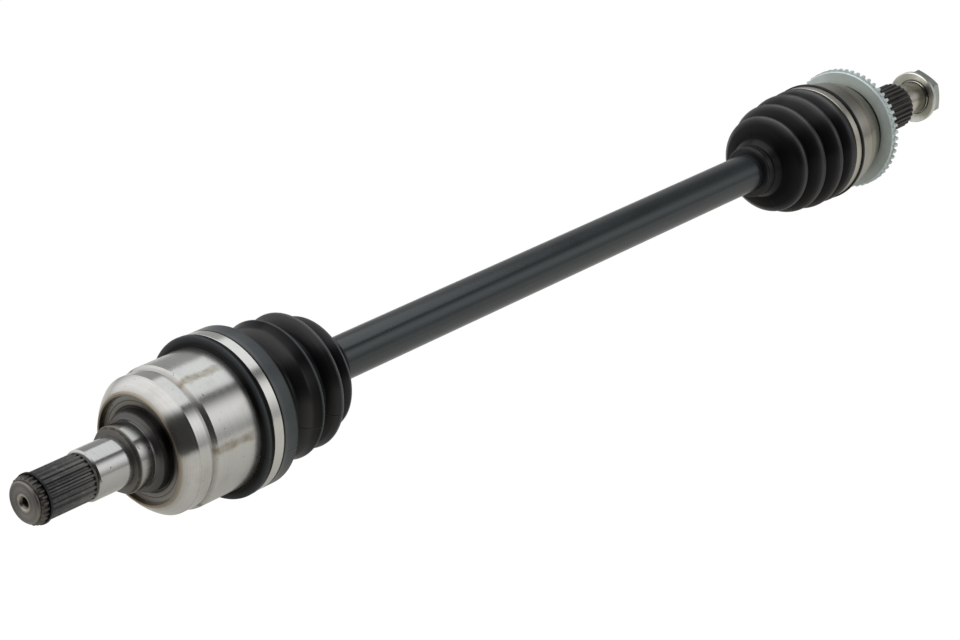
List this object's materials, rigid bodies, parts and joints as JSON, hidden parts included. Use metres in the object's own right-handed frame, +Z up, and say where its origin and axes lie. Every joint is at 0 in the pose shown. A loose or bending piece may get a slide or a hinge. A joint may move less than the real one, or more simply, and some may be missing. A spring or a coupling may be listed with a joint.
{
  "type": "cv axle",
  "caption": "Driveshaft with a plunging joint and splined stub at one end, a steering joint with tone ring, spline and hub nut at the other, and bellows boots on a plain bar.",
  "frame": {"origin": "on the shaft line, half-way between the inboard end face and the outboard end of the threaded stub", "axes": "+Y from the inboard (gearbox) end to the outboard (wheel hub) end, +Z up, both joints straight"},
  "size_m": [0.0931, 0.858, 0.093],
  "materials": {
    "bar_black": "satin black paint over steel",
    "machined_steel": "turned steel with fine rings round the axis",
    "hardened_steel": "ground bearing steel",
    "spring_steel": "phosphated spring steel",
    "dark_band": "dark coated steel band",
    "bright_band": "bright stainless band",
    "zinc_plate": "blue-white zinc plating",
    "boot_rubber": "black neoprene, slightly satin"
  },
  "bodies": {
    "halfshaft": {"bar_shaft": "bar_black", "tripod_spider": "hardened_steel", "spider_circlip": "spring_steel", "race_circlip": "spring_steel", "outer_inner_race": "hardened_steel", "needle_set_1": "hardened_steel", "needle_set_2": "hardened_steel", "needle_set_3": "hardened_steel", "roller_clip_1": "spring_steel", "roller_clip_2": "spring_steel", "roller_clip_3": "spring_steel", "inner_boot_clamp_small": "dark_band", "outer_boot": "boot_rubber", "outer_boot_clamp_small": "dark_band"},
    "tripod_roller_1": {"inner_roller_1": "hardened_steel"},
    "tripod_roller_2": {"inner_roller_2": "hardened_steel"},
    "tripod_roller_3": {"inner_roller_3": "hardened_steel"},
    "inner_bellows": {"inner_boot": "boot_rubber"},
    "inner_joint": {"inner_housing": "machined_steel", "inner_circlip": "spring_steel", "inner_boot_cuff": "boot_rubber", "inner_boot_clamp_large": "bright_band"},
    "upper_ball": {"outer_ball_top": "hardened_steel"},
    "ball_cage": {"outer_cage": "hardened_steel", "outer_side_balls": "hardened_steel"},
    "lower_ball": {"outer_ball_bottom": "hardened_steel"},
    "outer_joint": {"outer_housing": "machined_steel", "tone_ring": "zinc_plate", "outer_boot_clamp_large": "bright_band"},
    "hub_washer": {"axle_washer": "zinc_plate"},
    "hub_nut": {"axle_nut": "zinc_plate"}
  },
  "joints": [
    {"name": "inner_swing", "type": "hinge", "parent": "halfshaft", "child": "tripod_roller_1", "pos_m": [0, -0.311, 0.022], "axis": [0, 0, 1], "range_deg": [-12, 12], "deforming": ["inner_boot"]},
    {"name": "inner_pitch", "type": "hinge", "parent": "tripod_roller_1", "child": "inner_bellows", "pos_m": [0, -0.311, 0.022], "axis": [1, 0, 0], "range_deg": [-8, 8], "deforming": ["inner_boot"]},
    {"name": "plunge", "type": "slide", "parent": "inner_bellows", "child": "inner_joint", "axis": [0, -1, 0], "range_m": [-0.006, 0.012], "deforming": ["inner_boot"]},
    {"name": "roller_2_spin", "type": "hinge", "parent": "halfshaft", "child": "tripod_roller_2", "pos_m": [0.01905, -0.311, -0.011], "axis": [0.866, 0, -0.5], "continuous": true},
    {"name": "roller_3_spin", "type": "hinge", "parent": "halfshaft", "child": "tripod_roller_3", "pos_m": [-0.01905, -0.311, -0.011], "axis": [-0.866, 0, -0.5], "continuous": true},
    {"name": "outer_pitch_a", "type": "hinge", "parent": "halfshaft", "child": "upper_ball", "pos_m": [0, 0.288, 0], "axis": [1, 0, 0], "range_deg": [-4.5, 4.5], "deforming": ["outer_boot"]},
    {"name": "outer_steer_a", "type": "hinge", "parent": "upper_ball", "child": "ball_cage", "pos_m": [0, 0.288, 0], "axis": [0, 0, 1], "range_deg": [-17, 17], "deforming": ["outer_boot"]},
    {"name": "outer_steer_b", "type": "hinge", "parent": "ball_cage", "child": "lower_ball", "pos_m": [0, 0.288, 0], "axis": [0, 0, 1], "range_deg": [-17.5, 17.5], "deforming": ["outer_boot"]},
    {"name": "outer_pitch_b", "type": "hinge", "parent": "lower_ball", "child": "outer_joint", "pos_m": [0, 0.288, 0], "axis": [1, 0, 0], "range_deg": [-5, 5], "deforming": ["outer_boot"]},
    {"name": "nut_travel", "type": "slide", "parent": "outer_joint", "child": "hub_washer", "axis": [0, 1, 0], "range_m": [0, 0.009]},
    {"name": "nut_turn", "type": "hinge", "parent": "hub_washer", "child": "hub_nut", "pos_m": [0, 0.422, 0], "axis": [0, 1, 0], "range_deg": [0, 2180]}
  ],
  "couplings": [
    {"joint": "outer_steer_b", "follows": "outer_steer_a", "ratio": 1},
    {"joint": "outer_pitch_b", "follows": "outer_pitch_a", "ratio": 1},
    {"joint": "nut_turn", "follows": "nut_travel", "rad_per_m": 4188.8}
  ]
}
